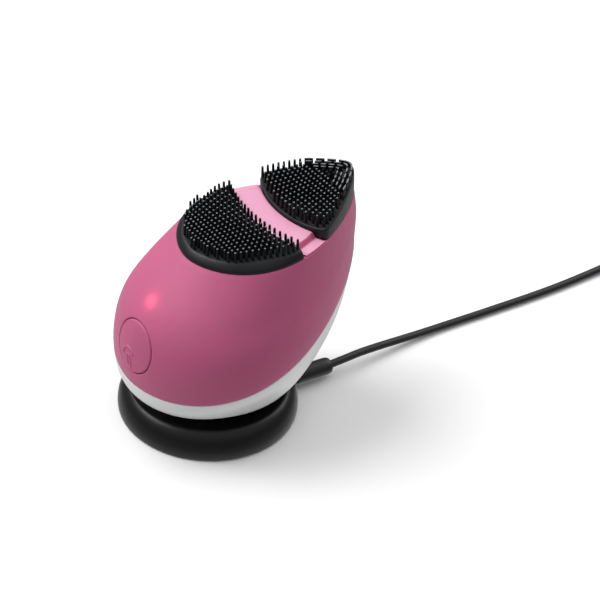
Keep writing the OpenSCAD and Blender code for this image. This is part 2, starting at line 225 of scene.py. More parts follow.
M = {}
M["soft_pink"] = soft_touch("soft_touch_pink", PINK, led=True)
M["button"] = soft_touch("button_pink", tint(PINK, 0.97))
M["gloss_pink"] = plastic("gloss_pink", (0.76, 0.34, 0.50, 1), 0.22, grain=5200, grain_mm=0.0015, var=0.02,
                          rough_var=0.03, blotch=40, coat=0.8)
M["white"] = plastic("white_plastic", srgb(246, 247, 247), 0.34, grain=6000, grain_mm=0.004, var=0.012, rough_var=0.05,
                     blotch=50, speck=srgb(236, 237, 237))
M["silicone"] = plastic("black_silicone", (0.0105, 0.0115, 0.0138, 1), 0.42, grain=5200, grain_mm=0.008, var=0.16,
                        rough_var=0.08, blotch=90, spec=0.34, sheen=0.04, sheen_rough=0.4)
M["stand"] = plastic("stand_black", (0.0075, 0.0076, 0.008, 1), 0.34, grain=6500, grain_mm=0.0012, var=0.1, rough_var=0.05,
                     blotch=60, spec=0.42)
M["rubber"] = plastic("seal_rubber", (0.02, 0.02, 0.02, 1), 0.72, grain=3000, grain_mm=0.03, var=0.15, rough_var=0.08)
M["inner_white"] = plastic("inner_white", srgb(214, 214, 206), 0.5, grain=3500, grain_mm=0.012, var=0.04)
M["inner_black"] = plastic("inner_black", (0.02, 0.02, 0.022, 1), 0.45, grain=4000, grain_mm=0.012, var=0.12)
M["cell"] = plastic("cell_blue", srgb(38, 84, 150), 0.35, grain=1500, grain_mm=0.02, var=0.1, coat=0.3)
M["steel"] = plastic("motor_steel", srgb(176, 178, 180), 0.32, grain=2500, grain_mm=0.01, metal=1.0, stretch=(1, 1, 12), rough_var=0.1)
M["brass"] = plastic("weight_brass", srgb(196, 160, 96), 0.35, grain=2500, grain_mm=0.01, metal=1.0, rough_var=0.1)
M["gold"] = plastic("contact_gold", srgb(236, 190, 104), 0.22, grain=5000, grain_mm=0.004, metal=1.0, rough_var=0.08)
M["iron"] = plastic("ballast_iron", srgb(96, 98, 102), 0.55, grain=1200, grain_mm=0.03, metal=1.0, var=0.15, rough_var=0.12)
M["screw"] = plastic("screw_steel", srgb(190, 190, 188), 0.28, grain=3000, grain_mm=0.008, metal=1.0, rough_var=0.1)
M["plug_metal"] = plastic("plug_metal", srgb(200, 200, 202), 0.22, grain=4500, grain_mm=0.004, metal=1.0, stretch=(6, 1, 1), rough_var=0.08)
M["plug"] = plastic("plug_black", (0.014, 0.014, 0.015, 1), 0.42, grain=5200, grain_mm=0.01, var=0.12, rough_var=0.07, spec=0.5)
M["cord"] = plastic("cord_black", (0.016, 0.016, 0.018, 1), 0.47, grain=4200, grain_mm=0.014, var=0.14, rough_var=0.08, spec=0.5)


def paint_slope_shade(m, slope_shade_color):
    """Painted shade: where the glossy band turns down to its ledge, its pink is darkened by how far the normal tilts
    from the band's up direction.
    """
    nt = m.node_tree
    b = next(n for n in nt.nodes if n.type == "BSDF_PRINCIPLED")
    base = b.inputs["Base Color"].links[0].from_socket
    geo = nt.nodes.new("ShaderNodeNewGeometry")
    dot = nt.nodes.new("ShaderNodeVectorMath")
    dot.operation = "DOT_PRODUCT"
    nt.links.new(geo.outputs["Normal"], dot.inputs[0])
    dot.inputs[1].default_value = (-0.0688, 0.0, 0.9976)
    # painted shade: a deeper pink is mixed in on the band's slopes
    nt.links.new(mix(nt, maprange(nt, dot.outputs["Value"], 0.97, 0.8, 0.0, 1.0), base, slope_shade_color), b.inputs["Base Color"])


# the deeper pink used as painted shade on the band's slopes
paint_slope_shade(M["gloss_pink"], (0.62, 0.10, 0.22, 1.0))


def tip_highlight_silicone(name, origin, normal, tip):
    """Silicone whose bristle tips are painted pale as a highlight; height is measured off the pad's own plane."""
    m = plastic(name, (0.0075, 0.0083, 0.0098, 1), 0.5, grain=5200, grain_mm=0.006, var=0.18, rough_var=0.08, blotch=300, spec=0.24)
    nt = m.node_tree
    b = next(n for n in nt.nodes if n.type == "BSDF_PRINCIPLED")
    base = b.inputs["Base Color"].links[0].from_socket
    tc = nt.nodes.new("ShaderNodeTexCoord")
    sub = nt.nodes.new("ShaderNodeVectorMath")
    sub.operation = "SUBTRACT"
    nt.links.new(tc.outputs["Object"], sub.inputs[0])
    sub.inputs[1].default_value = tuple(float(c) * MM for c in origin)
    dot = nt.nodes.new("ShaderNodeVectorMath")
    dot.operation = "DOT_PRODUCT"
    nt.links.new(sub.outputs["Vector"], dot.inputs[0])
    dot.inputs[1].default_value = tuple(float(c) for c in normal)
    tip_highlight_noise = noise(nt, tc.outputs["Object"], 700, 2)
    up = maprange(nt, dot.outputs["Value"], (tip - 0.22) * MM, (tip - 0.03) * MM, 0.0, 1.0)
    fac = math_node(nt, "MULTIPLY", up, maprange(nt, tip_highlight_noise, 0.3, 0.7, 0.55, 1.0, "LINEAR"))
    # painted highlight: the tips are lightened, made patchy by noise
    nt.links.new(mix(nt, fac, base, (0.27, 0.285, 0.30, 1.0)), b.inputs["Base Color"])
    return m


def pcb_mat():
    m, nt, b = new_mat("pcb_green")
    v = coords(nt)
    br = nt.nodes.new("ShaderNodeTexBrick")
    br.inputs["Scale"].default_value = 420
    br.inputs["Mortar Size"].default_value = 0.035
    br.inputs["Color1"].default_value = srgb(18, 84, 48)
    br.inputs["Color2"].default_value = srgb(22, 92, 54)
    br.inputs["Mortar"].default_value = srgb(70, 140, 84)
    nt.links.new(v, br.inputs["Vector"])
    nt.links.new(mix(nt, maprange(nt, noise(nt, v, 160, 2), 0.45, 0.55, 0.0, 1.0), br.outputs["Color"], srgb(20, 88, 50)),
                 b.inputs["Base Color"])
    nt.links.new(maprange(nt, noise(nt, v, 900, 2), 0.3, 0.7, 0.28, 0.4, "LINEAR"), b.inputs["Roughness"])
    bump(nt, b, br.outputs["Fac"], 0.4, 0.03 * MM)
    return m


def led_mat():
    m, nt, b = new_mat("led_lens")
    v = coords(nt)
    nt.links.new(ramp(nt, noise(nt, v, 600, 2), 0.3, 0.7, (0.9, 0.32, 0.42, 1), (1, 0.45, 0.55, 1)), b.inputs["Base Color"])
    nt.links.new(maprange(nt, noise(nt, v, 900, 2), 0.3, 0.7, 0.12, 0.2, "LINEAR"), b.inputs["Roughness"])
    b.inputs["Emission Color"].default_value = (1, 0.12, 0.25, 1)
    b.inputs["Emission Strength"].default_value = 1.5
    bump(nt, b, noise(nt, v, 2500, 2), 0.4, 0.006 * MM)
    return m


M["pcb"] = pcb_mat()
M["led"] = led_mat()

CAD_FINISH = {
    "tact_switch": "inner_black", "switch_stem": "inner_white", "main_pcb": "pcb", "indicator_led": "led",
    "battery_cell": "cell", "chassis": "inner_white", "chassis_screws": "screw", "shell_seal": "rubber",
    "motor_can": "steel", "motor_shaft": "steel", "eccentric_weight": "brass", "motor_bracket": "inner_white",
    "charge_contacts": "gold", "stand_base_cover": "inner_black", "foot_pad": "rubber", "ballast_ring": "iron",
    "stand_pcb": "pcb", "dc_jack": "inner_black", "pin_sleeves": "gold", "charge_pin_left": "gold",
    "charge_pin_right": "gold", "stand_screws": "screw",
    "dc_plug_barrel": "plug_metal", "usb_plug_tongue": "white", "usb_plug_shell": "plug_metal",
}
for node_name, key in CAD_FINISH.items():
    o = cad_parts[node_name]
    o.data.materials.clear()
    o.data.materials.append(M[key])

# ------------------------------------------------------------------ mesh helpers


class Net:
    """Points in millimetres and faces, gathered part by part."""

    def __init__(self):
        self.p, self.f, self.n = [], [], 0

    def add(self, pts):
        pts = np.asarray(pts, float).reshape(-1, 3)
        ids = np.arange(self.n, self.n + len(pts))
        self.p.append(pts)
        self.n += len(pts)
        return ids

    def strip(self, a, b, closed=True, skip=None):
        m = len(a)
        for i in range(m if closed else m - 1):
            if skip is not None and skip(i):
                continue
            j = (i + 1) % m
            self.f.append((int(a[i]), int(a[j]), int(b[j]), int(b[i])))

    def fan(self, ring, centre):
        c = self.add([centre])[0]
        m = len(ring)
        for i in range(m):
            self.f.append((int(ring[i]), int(ring[(i + 1) % m]), int(c)))

    def cap(self, ring):
        self.f.append(tuple(int(i) for i in ring))

    def points(self):
        return np.concatenate(self.p)


def build(name, net, mat, body, sharp=38, merge=1e-7, replaces=()):
    pts = net.points() * MM if isinstance(net, Net) else np.asarray(net[0]) * MM
    faces = net.f if isinstance(net, Net) else net[1]
    mesh = bpy.data.meshes.new(name)
    mesh.from_pydata([tuple(p) for p in pts], [], faces)
    bm = bmesh.new()
    bm.from_mesh(mesh)
    bmesh.ops.remove_doubles(bm, verts=bm.verts, dist=merge)
    loose = [v for v in bm.verts if not v.link_faces]
    bmesh.ops.delete(bm, geom=loose, context="VERTS")
    bmesh.ops.recalc_face_normals(bm, faces=bm.faces)
    bm.to_mesh(mesh)
    bm.free()
    return finish_piece(name, mesh, mat, body, sharp, replaces)


def finish_piece(name, mesh, mat, body, sharp=38, replaces=()):
    for poly in mesh.polygons:
        poly.use_smooth = True
    mesh.set_sharp_from_angle(angle=math.radians(sharp))
    mesh.materials.clear()
    mesh.materials.append(M[mat] if isinstance(mat, str) else mat)
    o = bpy.data.objects.new(name, mesh)
    scene.collection.objects.link(o)
    if body:
        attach(o, body)
    if replaces:
        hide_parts(*replaces)
    return o


def revolve(profile, n=96, closed_profile=True):
    """A solid of revolution round Z from (r, z) points, millimetres; points at r = 0 become poles."""
    net = Net()
    ang = np.arange(n) * 2 * math.pi / n
    rings = []
    for r, z in profile:
        if r < 1e-9:
            rings.append(net.add([(0, 0, z)]))
        else:
            rings.append(net.add(np.stack([r * np.cos(ang), r * np.sin(ang), np.full(n, z)], -1)))
    pairs = list(zip(rings[:-1], rings[1:])) + ([(rings[-1], rings[0])] if closed_profile else [])
    for a, b in pairs:
        if len(a) == 1 and len(b) == 1:
            continue
        if len(a) == 1 or len(b) == 1:
            ring, pole = (b, a[0]) if len(a) == 1 else (a, b[0])
            for i in range(n):
                net.f.append((int(ring[i]), int(ring[(i + 1) % n]), int(pole)))
        else:
            net.strip(a, b)
    return net


def smooth_line(pts, per=6):
    """Catmull-Rom through points in the plane or in space."""
    pts = np.asarray(pts, float)
    return along(pts, np.linspace(0, len(pts) - 1, (len(pts) - 1) * per + 1))


def round_profile(pts, radius, steps=5):
    """A closed polygon (r, z) with each corner rounded by its own radius."""
    pts = [np.array(p, float) for p in pts]
    out = []
    for i, p in enumerate(pts):
        a, b = pts[i - 1], pts[(i + 1) % len(pts)]
        r = radius[i] if hasattr(radius, "__len__") else radius
        da, db = a - p, b - p
        la, lb = np.linalg.norm(da), np.linalg.norm(db)
        if r <= 0 or (p[0] < 1e-9):
            out.append(tuple(p))
            continue
        d = min(r, la * 0.45, lb * 0.45)
        s, e = p + da / la * d, p + db / lb * d
        for k in range(steps + 1):
            t = k / steps
            out.append(tuple((1 - t) ** 2 * s + 2 * t * (1 - t) * p + t * t * e))
    return out


# ------------------------------------------------------------------ the handset's surfaces (as in part.scad)
SEC = np.array([
    [-10, 6.1, 13, 6.1, 11, 0.5, 0.5], [-19, 11.6, 34.8, 14.8, 25.2, 0.51, 0.64],
    [-31.5, 17, 54.5, 29, 31.5, 0.5, 0.86], [-34.5, 25, 61, 47.5, 36.5, 0.53, 1],
    [-34, 40.5, 61.5, 59, 35, 0.55, 1.02], [-28.5, 53.5, 61.5, 67.5, 30.5, 0.56, 1],
    [-12.5, 71, 60, 76, 25, 0.56, 0.97]])
SHIFT = [2.2, 1.5, 0.6, 0, -0.4, -1, -2.2]
WALL = 2.0


def along(K, x):
    K = np.asarray(K, float)
    n = len(K)
    x = np.asarray(x, float)
    i = np.clip(np.floor(x).astype(int), 0, n - 2)
    t = (x - i)[..., None]
    q, r = K[i], K[i + 1]
    p = np.where((i > 0)[..., None], K[np.maximum(i - 1, 0)], 2 * q - r)
    s = np.where((i + 2 < n)[..., None], K[np.minimum(i + 2, n - 1)], 2 * r - q)
    return 0.5 * (2 * q + (r - p) * t + (2 * p - 5 * q + 4 * r - s) * t * t + (3 * q - p - 3 * r + s) * t ** 3)


def egg_raw(s, a, b):
    return s ** a * ((1 - s) * (1.1 - s)) ** (b / 2)


VG = np.linspace(-0.2, 6.2, 641)


def peak_table(K):
    k = along(K, VG)
    g = (np.arange(1, 80) / 80)[:, None]
    return egg_raw(g, k[:, 5], k[:, 6]).max(0)


def inner_of(k, sh):
    d = np.array([k[2] - k[0], k[3] - k[1]])
    u = d / np.linalg.norm(d)
    return [k[0] + u[0] * WALL, k[1] + u[1] * WALL + sh, k[2] - u[0] * WALL * 1.2, k[3] - u[1] * WALL * 1.2 + sh,
            k[4] - WALL, k[5], k[6]]


INN = np.array([inner_of(k, s) for k, s in zip(SEC, SHIFT)])
PEAK, PEAK_IN = peak_table(SEC), peak_table(INN)


def surf(t, v, inner=False):
    """Point of the outer (or inner) surface: t runs round from the blunt end (0) to the tip (+-1), v up the sections."""
    K, Pk = (INN, PEAK_IN) if inner else (SEC, PEAK)
    t, v = np.broadcast_arrays(np.asarray(t, float), np.asarray(v, float))
    k = along(K, v)
    s = np.clip((1 - np.cos(np.pi * np.abs(t))) / 2, 0, 1)
    w = k[..., 4] * egg_raw(s, k[..., 5], k[..., 6]) / np.interp(v, VG, Pk)
    return np.stack([k[..., 0] + (k[..., 2] - k[..., 0]) * s, np.sign(t) * w, k[..., 1] + (k[..., 3] - k[..., 1]) * s], -1)


NT = 168
TT = -1 + 2 * np.arange(NT) / NT


def ring_normals(P, up):
    """Outward directions in the plane of a closed ring."""
    d = np.roll(P, -1, 0) - np.roll(P, 1, 0)
    n = np.cross(d, up)
    n /= np.maximum(np.linalg.norm(n, axis=1), 1e-9)[:, None]
    c = P.mean(0)
    flip = ((P - c) * n).sum(1) < 0
    n[flip] *= -1
    return n


def inset_ring(P, up, inset, lift):
    return P - ring_normals(P, up) * inset + np.asarray(up) * lift


J_ANG = math.atan2(22.5, 95.5)
J_UP = np.array([-math.sin(J_ANG), 0, math.cos(J_ANG)])
T_ANG = math.atan2(5, 72.5)
T_O, T_X, T_UP = np.array([-12.5, 0, 71.0]), np.array([math.cos(T_ANG), 0, math.sin(T_ANG)]), \
    np.array([-math.sin(T_ANG), 0, math.cos(T_ANG)])


def tray(x, y, h):
    x, y, h = np.broadcast_arrays(*[np.asarray(q, float) for q in (x, y, h)])
    return T_O + x[..., None] * T_X + y[..., None] * np.array([0, 1.0, 0]) + h[..., None] * T_UP


B_ANG = math.radians(102)
B_O, B_X, B_Z = np.array([-33.6, 0, 40.3]), np.array([math.cos(B_ANG), 0, -math.sin(B_ANG)]), \
    np.array([math.sin(B_ANG), 0, math.cos(B_ANG)])


def on_button_plane(P):
    q = P - B_O
    return np.stack([q @ B_X, q[..., 1]], -1)


def params_at(target, inner=False):
    """(t, v) of the surface points that lie at these places of the button's own plane."""
    target = np.asarray(target, float).reshape(-1, 2)
    p = np.stack([target[:, 1] / 80, 4 - target[:, 0] / 14], -1)
    f = lambda q: on_button_plane(surf(q[:, 0], q[:, 1], inner))
    for _ in range(40):
        F = f(p) - target
        a, b = (f(p + (1e-4, 0)) - f(p)) / 1e-4, (f(p + (0, 1e-4)) - f(p)) / 1e-4
        det = a[:, 0] * b[:, 1] - a[:, 1] * b[:, 0]
        det = np.where(np.abs(det) < 1e-6, 1e-6, det)
        du = (F[:, 0] * b[:, 1] - F[:, 1] * b[:, 0]) / det
        dv = (a[:, 0] * F[:, 1] - a[:, 1] * F[:, 0]) / det
        p = p - np.clip(np.stack([du, dv], -1), -0.05, 0.3) * 1.0
        if np.abs(F).max() < 1e-5:
            break
    return p


NB = 112
B_TH = np.arange(NB) * 2 * math.pi / NB


def polar(rho):
    return np.stack([rho * np.cos(B_TH), rho * np.sin(B_TH)], -1)


def skin_ring(rho, depth=0.0, inner=False):
    """A ring round the button's axis on the shell's surface, pushed in along that axis."""
    p = params_at(polar(rho), inner)
    return surf(p[:, 0], p[:, 1], inner) + B_Z * depth, p


def stack_with_hole(net, rows, vs, inner, rim, clear):
    """Quads between rows of the shell, with a patch near the button re-meshed round a circular hole. Returns the rim's ids."""
    v_lo, v_hi = 3.2, 5.02
    js = [j for j, v in enumerate(vs) if v_lo <= v <= v_hi]
    j0, j1 = js[0], js[-1]
    iis = [i for i, t in enumerate(TT) if abs(t) <= 0.215]
    i0, i1 = iis[0], iis[-1]
    for j in range(len(rows) - 1):
        net.strip(rows[j], rows[j + 1], skip=(lambda i: j0 <= j < j1 and i0 <= i < i1))
    ring, par = skin_ring(rim, 0.0, inner)
    rid = net.add(ring)
    pts2, ids = [], []
    for j in range(j0, j1 + 1):
        for i in range(i0, i1 + 1):
            edge = j in (j0, j1) or i in (i0, i1)
            rr = np.linalg.norm(on_button_plane(surf(TT[i], vs[j], inner)))
            if edge or rr > clear:
                pts2.append((TT[i] * 80, vs[j] * 14))
                ids.append(int(rows[j][i]))
    base = len(pts2)
    for (t, v), k in zip(par, rid):
        pts2.append((t * 80, v * 14))
        ids.append(int(k))
    edges = [(base + i, base + (i + 1) % NB) for i in range(NB)]
    out = delaunay_2d_cdt([Vector(p) for p in pts2], edges, [], 0, 1e-9, True)
    src = [o[0] if o else -1 for o in out[3]]
    for tri in out[2]:
        orig = [src[i] for i in tri]
        if min(orig) < 0:
            continue
        if all(o >= base for o in orig):
            continue
        net.f.append(tuple(ids[o] for o in orig))
    return rid, ring


# ------------------------------------------------------------------ front shell
def front_shell():
    net = Net()
    vs = np.concatenate([[3.03], np.linspace(3.08, 5.92, 62), [5.97]])
    rows = [net.add(surf(TT, v)) for v in vs]
    rim, _ = stack_with_hole(net, rows, vs, False, 11.0, 11.45)
    # rounded rim of the button's hole, then its wall
    last = rim
    for rho, depth in ((10.75, 0.0), (10.55, 0.02), (10.38, 0.08), (10.24, 0.19), (10.14, 0.36), (10.1, 0.6), (10.1, 1.3)):
        ring, _ = skin_ring(rho, depth)
        r = net.add(ring)
        net.strip(last, r)
        last = r
    in_vs = np.linspace(3.0, 6.0, 34)
    in_rows = [net.add(surf(TT, v, True)) for v in in_vs]
    in_rim, _ = stack_with_hole(net, in_rows, in_vs, True, 10.1, 10.7)
    net.strip(last, in_rim)
    # top edge: a small round, then the platform under the pads
    P6 = surf(TT, 6.0)
    prev = rows[-1]
    for ins, lift in ((0.02, -0.12), (0.10, -0.03), (0.25, 0.0), (0.8, 0.0)):
        r = net.add(inset_ring(P6, T_UP, ins, lift))
        net.strip(prev, r)
        prev = r
    net.fan(prev, P6.mean(0))
    net.fan(in_rows[-1], surf(TT, 6.0, True).mean(0))
    # bottom edge at the joint line
    P3 = surf(TT, 3.0)
    prev = rows[0]
    for ins, lift in ((0.06, 0.17), (0.2, 0.09), (0.45, 0.07), (1.2, 0.07)):
        r = net.add(inset_ring(P3, J_UP, ins, lift))
        net.strip(prev, r)
        prev = r
    net.strip(prev, in_rows[0])
    return build("front_shell_skin", net, "soft_pink", "handset", replaces=("front_shell",), sharp=50)


# ------------------------------------------------------------------ rear shell
def circle_ids(net, cx, cy, z, r, n=32):
    a = np.arange(n) * 2 * math.pi / n
    return net.add(np.stack([cx + r * np.cos(a), cy + r * np.sin(a), np.full(n, z)], -1))


def plane_with_holes(net, outer_ids, outer_pts, holes):
    """A flat region between an outer ring and circular holes, all in one plane."""
    pts, ids, edges = [tuple(p[:2]) for p in outer_pts], [int(i) for i in outer_ids], []
    n = len(pts)
    edges += [(i, (i + 1) % n) for i in range(n)]
    tests = []
    for hid, hp in holes:
        b = len(pts)
        pts += [tuple(p[:2]) for p in hp]
        ids += [int(i) for i in hid]
        edges += [(b + i, b + (i + 1) % len(hp)) for i in range(len(hp))]
        tests.append((b, b + len(hp)))
    out = delaunay_2d_cdt([Vector(p) for p in pts], edges, [], 0, 1e-9, True)
    src = [o[0] if o else -1 for o in out[3]]
    for tri in out[2]:
        orig = [src[i] for i in tri]
        if min(orig) < 0 or any(all(b <= o < e for o in orig) for b, e in tests):
            continue
        net.f.append(tuple(ids[o] for o in orig))


def rear_shell():
    net = Net()
    vs = np.concatenate([np.linspace(0.0, 2.9, 54), [2.94, 2.97]])
    rows = []
    for v in vs:
        P = surf(TT, v)
        if v < 0.25:   # rows near the flat spot are left unchanged
            pass
        rows.append(net.add(P))
    for a, b in zip(rows[:-1], rows[1:]):
        net.strip(a, b)
    in_vs = np.linspace(0.0, 3.0, 30)
    in_rows = [net.add(surf(TT, v, True)) for v in in_vs]
    for a, b in zip(in_rows[:-1], in_rows[1:]):
        net.strip(a, b)
    P3 = surf(TT, 3.0)
    prev = rows[-1]
    for ins, lift in ((0.06, -0.11), (0.2, -0.05), (0.45, -0.03), (1.2, -0.03)):
        r = net.add(inset_ring(P3, J_UP, ins, lift))
        net.strip(prev, r)
        prev = r
    net.strip(prev, in_rows[-1])
    low, high = surf(TT, 0.0), surf(TT, 0.0, True)
    lo_h, hi_h = [], []
    for s in (-1, 1):
        a = circle_ids(net, 1.5, 6 * s, low[0, 2], 2.9)
        b = circle_ids(net, 1.5, 6 * s, low[0, 2] + 0.25, 2.7)
        c = circle_ids(net, 1.5, 6 * s, high[0, 2], 2.7)
        net.strip(a, b)
        net.strip(b, c)
        lo_h.append(a)
        hi_h.append(c)
    allp = net.points()
    # the two flat floors: rows in one plane
    plane_with_holes(net, rows[0], allp[rows[0]], [(h, allp[h]) for h in lo_h])
    plane_with_holes(net, in_rows[0], allp[in_rows[0]], [(h, allp[h]) for h in hi_h])
    return build("rear_shell_skin", net, "white", "handset", replaces=("rear_shell",), sharp=40)


# ------------------------------------------------------------------ button with its power symbol
def seg_dist(p, a, b):
    a, b = np.array(a, float), np.array(b, float)
    d = b - a
    h = np.clip(((p - a) @ d) / (d @ d), 0, 1)
    return np.linalg.norm(p - a - h[:, None] * d, axis=1)


def symbol_height(xy):
    """Raised power symbol: an arc with an outlined bar hanging out of it."""
    d, n = np.array([0.927, -0.375]), np.array([0.375, 0.927])
    q = xy - np.array([5.0, 0.9])
    q = np.stack([q @ d, q @ n], -1)
    bar = np.abs(seg_dist(q, (-0.3, 0), (2.7, 0)) - 0.88) - 0.24
    c = q - np.array([-0.5, 0.3])
    r = np.linalg.norm(c, axis=1)
    ang = np.degrees(np.arctan2(c[:, 1], -c[:, 0]))
    ends = [3.35 * np.array([-math.cos(math.radians(74)), k * math.sin(math.radians(74))]) for k in (1, -1)]
    d_end = np.minimum(*[np.linalg.norm(c - e, axis=1) for e in ends])
    arc = np.where(np.abs(ang) < 74, np.abs(r - 3.4), d_end) - 0.36
    t = np.clip((0.16 - np.minimum(bar, arc)) / 0.3, 0, 1)
    return 0.3 * t * t * (3 - 2 * t)


def power_button():
    net = Net()
    rho = np.concatenate([np.linspace(0.15, 9.25, 76), [9.38, 9.5, 9.6, 9.69, 9.76, 9.8]])
    dep = np.interp(rho, [9.25, 9.38, 9.5, 9.6, 9.69, 9.76, 9.8], [0, 0.01, 0.04, 0.09, 0.17, 0.3, 0.5])
    n = 216
    th = np.arange(n) * 2 * math.pi / n
    prev, first = None, None
    for r, d in zip(rho, dep):
        xy = np.stack([r * np.cos(th), r * np.sin(th)], -1)
        p = params_at(xy)
        # a shallow dished face
        dish = 0.16 * np.exp(-(r / 7.0) ** 4) if r < 9 else 0
        P = surf(p[:, 0], p[:, 1]) + B_Z * (d + dish - symbol_height(xy)[:, None])
        ids = net.add(P)
        if prev is not None:
            net.strip(prev, ids)
        else:
            first = ids
        prev = ids
    p0 = params_at([[0.0, 0.0]])
    net.fan(first, surf(p0[:, 0], p0[:, 1])[0] + B_Z * (0.16 - symbol_height(np.zeros((1, 2)))[0]))

    def flat(r, z):
        return net.add(B_O + r * np.cos(th)[:, None] * B_X + r * np.sin(th)[:, None] * np.array([0, 1.0, 0]) + z * B_Z)
    for r, z in ((9.8, 2.0), (9.6, 2.3), (2.2, 2.3), (1.6, 2.7), (1.6, 4.5), (1.35, 4.8)):
        ids = flat(r, z)
        net.strip(prev, ids)
        prev = ids
    net.fan(prev, B_O + 4.8 * B_Z)
    return build("power_button_cap", net, "button", "button", replaces=("power_button",), sharp=55)


# ------------------------------------------------------------------ pads
T_LEN = math.hypot(72.5, 5)


def tray_outline(n=360):
    t = -1 + 2 * np.arange(n) / n
    s = (1 - np.cos(np.pi * np.abs(t))) / 2
    pk = egg_raw(np.arange(1, 80) / 80, 0.56, 0.97).max()
    return np.stack([T_LEN * s, np.sign(t) * 25 * egg_raw(s, 0.56, 0.97) / pk], -1)


OUT = tray_outline()


def poly_sdf(P, poly):
    a, b = poly, np.roll(poly, -1, 0)
    d = b - a
    L = np.maximum((d * d).sum(-1), 1e-12)
    res = np.zeros(len(P))
    for k in range(0, len(P), 4000):
        p = P[k:k + 4000]
        ap = p[:, None] - a[None]
        h = np.clip((ap * d).sum(-1) / L, 0, 1)
        dist = np.sqrt(((ap - h[..., None] * d) ** 2).sum(-1)).min(1)
        cond = (a[None, :, 1] > p[:, None, 1]) != (b[None, :, 1] > p[:, None, 1])
        dy = np.where(np.abs(d[:, 1]) < 1e-12, 1e-12, d[:, 1])
        xi = a[None, :, 0] + (p[:, None, 1] - a[None, :, 1]) * (d[:, 0] / dy)[None]
        inside = (np.sum(cond & (p[:, None, 0] < xi), 1) % 2) == 1
        res[k:k + 4000] = np.where(inside, -dist, dist)
    return res


def corner_slim(x):
    """The skirt leans less towards the two pointed corners."""
    k = np.clip((np.asarray(x, float) - 20) / 11, 0, 1)
    return 1 - 0.5 * k * k * (3 - 2 * k)


def lower_f(P, e_in, d_in, r):
    a = poly_sdf(P, OUT) + e_in * corner_slim(P[:, 0])
    b = 59.0 - np.hypot(P[:, 0] - 89, P[:, 1]) + d_in
    m = np.stack([a + r, b + r], -1)
    return np.minimum(m.max(1), 0) + np.linalg.norm(np.maximum(m, 0), axis=1) - r


def upper_f(P, e_in, d_in, r):
    a = poly_sdf(P, OUT) + e_in
    b = np.hypot(P[:, 0] - 81, P[:, 1]) - 41.0 + d_in
    m = np.stack([a + r, b + r], -1)
    return np.minimum(m.max(1), 0) + np.linalg.norm(np.maximum(m, 0), axis=1) - r


def outline_dirs(f, centre, n, args):
    th = np.linspace(0, 2 * math.pi, 1441)[:-1]
    P = radial(f, centre, th, args)
    d = np.linalg.norm(np.roll(P, -1, 0) - P, axis=1)
    # more points where the outline turns
    e = np.roll(P, -1, 0) - P
    turn = np.abs(np.arctan2(*(np.cross(e, np.roll(e, -1, 0)), (e * np.roll(e, -1, 0)).sum(1))))
    w = d + 1.6 * np.minimum(np.roll(turn, 1), 0.4)
    cum = np.concatenate([[0], np.cumsum(w)])
    at = np.arange(n) * cum[-1] / n
    return np.interp(at, cum, np.concatenate([th, [2 * math.pi]]))


def radial(f, centre, th, args):
    lo, hi = np.zeros(len(th)), np.full(len(th), 60.0)
    u = np.stack([np.cos(th), np.sin(th)], -1)
    for _ in range(26):
        mid = (lo + hi) / 2
        v = f(np.asarray(centre) + u * mid[:, None], *args)
        lo, hi = np.where(v < 0, mid, lo), np.where(v < 0, hi, mid)
    return np.asarray(centre) + u * ((lo + hi) / 2)[:, None]


def bristle(net, x, y, h0, h1, r0=0.56, r1=0.43, n=10, lean=(0, 0)):
    a = np.arange(n) * 2 * math.pi / n
    prev = None
    hh = h1 - h0
    prof = [(r0 * 1.25, -0.35), (r0 * 1.12, 0.12), (r0, 0.5), ((r0 + r1) / 2, hh * 0.5), (r1, hh - 0.42), (r1 * 0.93, hh - 0.2),
            (r1 * 0.62, hh - 0.05)]
    for r, z in prof:
        k = max(z, 0) / hh
        ids = net.add(tray(x + lean[0] * k + r * np.cos(a), y + lean[1] * k + r * np.sin(a), np.full(n, h0 + z)))
        if prev is not None:
            net.strip(prev, ids)
        else:
            net.cap(ids[::-1])
        prev = ids
    net.fan(prev, tray(x + lean[0], y + lean[1], h1))


def pad_base(name, f, centre, levels, top, body_mat="silicone", n=260, replaces=()):
    """Lofted pad body: levels of (inset from the outline, inset from the arc, corner radius, height)."""
    net = Net()
    th = outline_dirs(f, centre, n, levels[0][:3])
    prev = None
    for lv in levels:
        P = radial(f, centre, th, lv[:3])
        ids = net.add(tray(P[:, 0], P[:, 1], top(P[:, 0], lv[3])))
        if prev is None:
            net.cap(ids[::-1])
        else:
            net.strip(prev, ids)
        prev = ids
        last = P
    # concentric rings in to the middle, so that the top can be curved
    for k in (0.8, 0.55, 0.3, 0.1):
        P = np.asarray(centre) + (last - np.asarray(centre)) * k
        ids = net.add(tray(P[:, 0], P[:, 1], top(P[:, 0], levels[-1][3])))
        net.strip(prev, ids)
        prev = ids
    net.fan(prev, tray(centre[0], centre[1], top(np.array(centre[0]), levels[-1][3])))
    return net


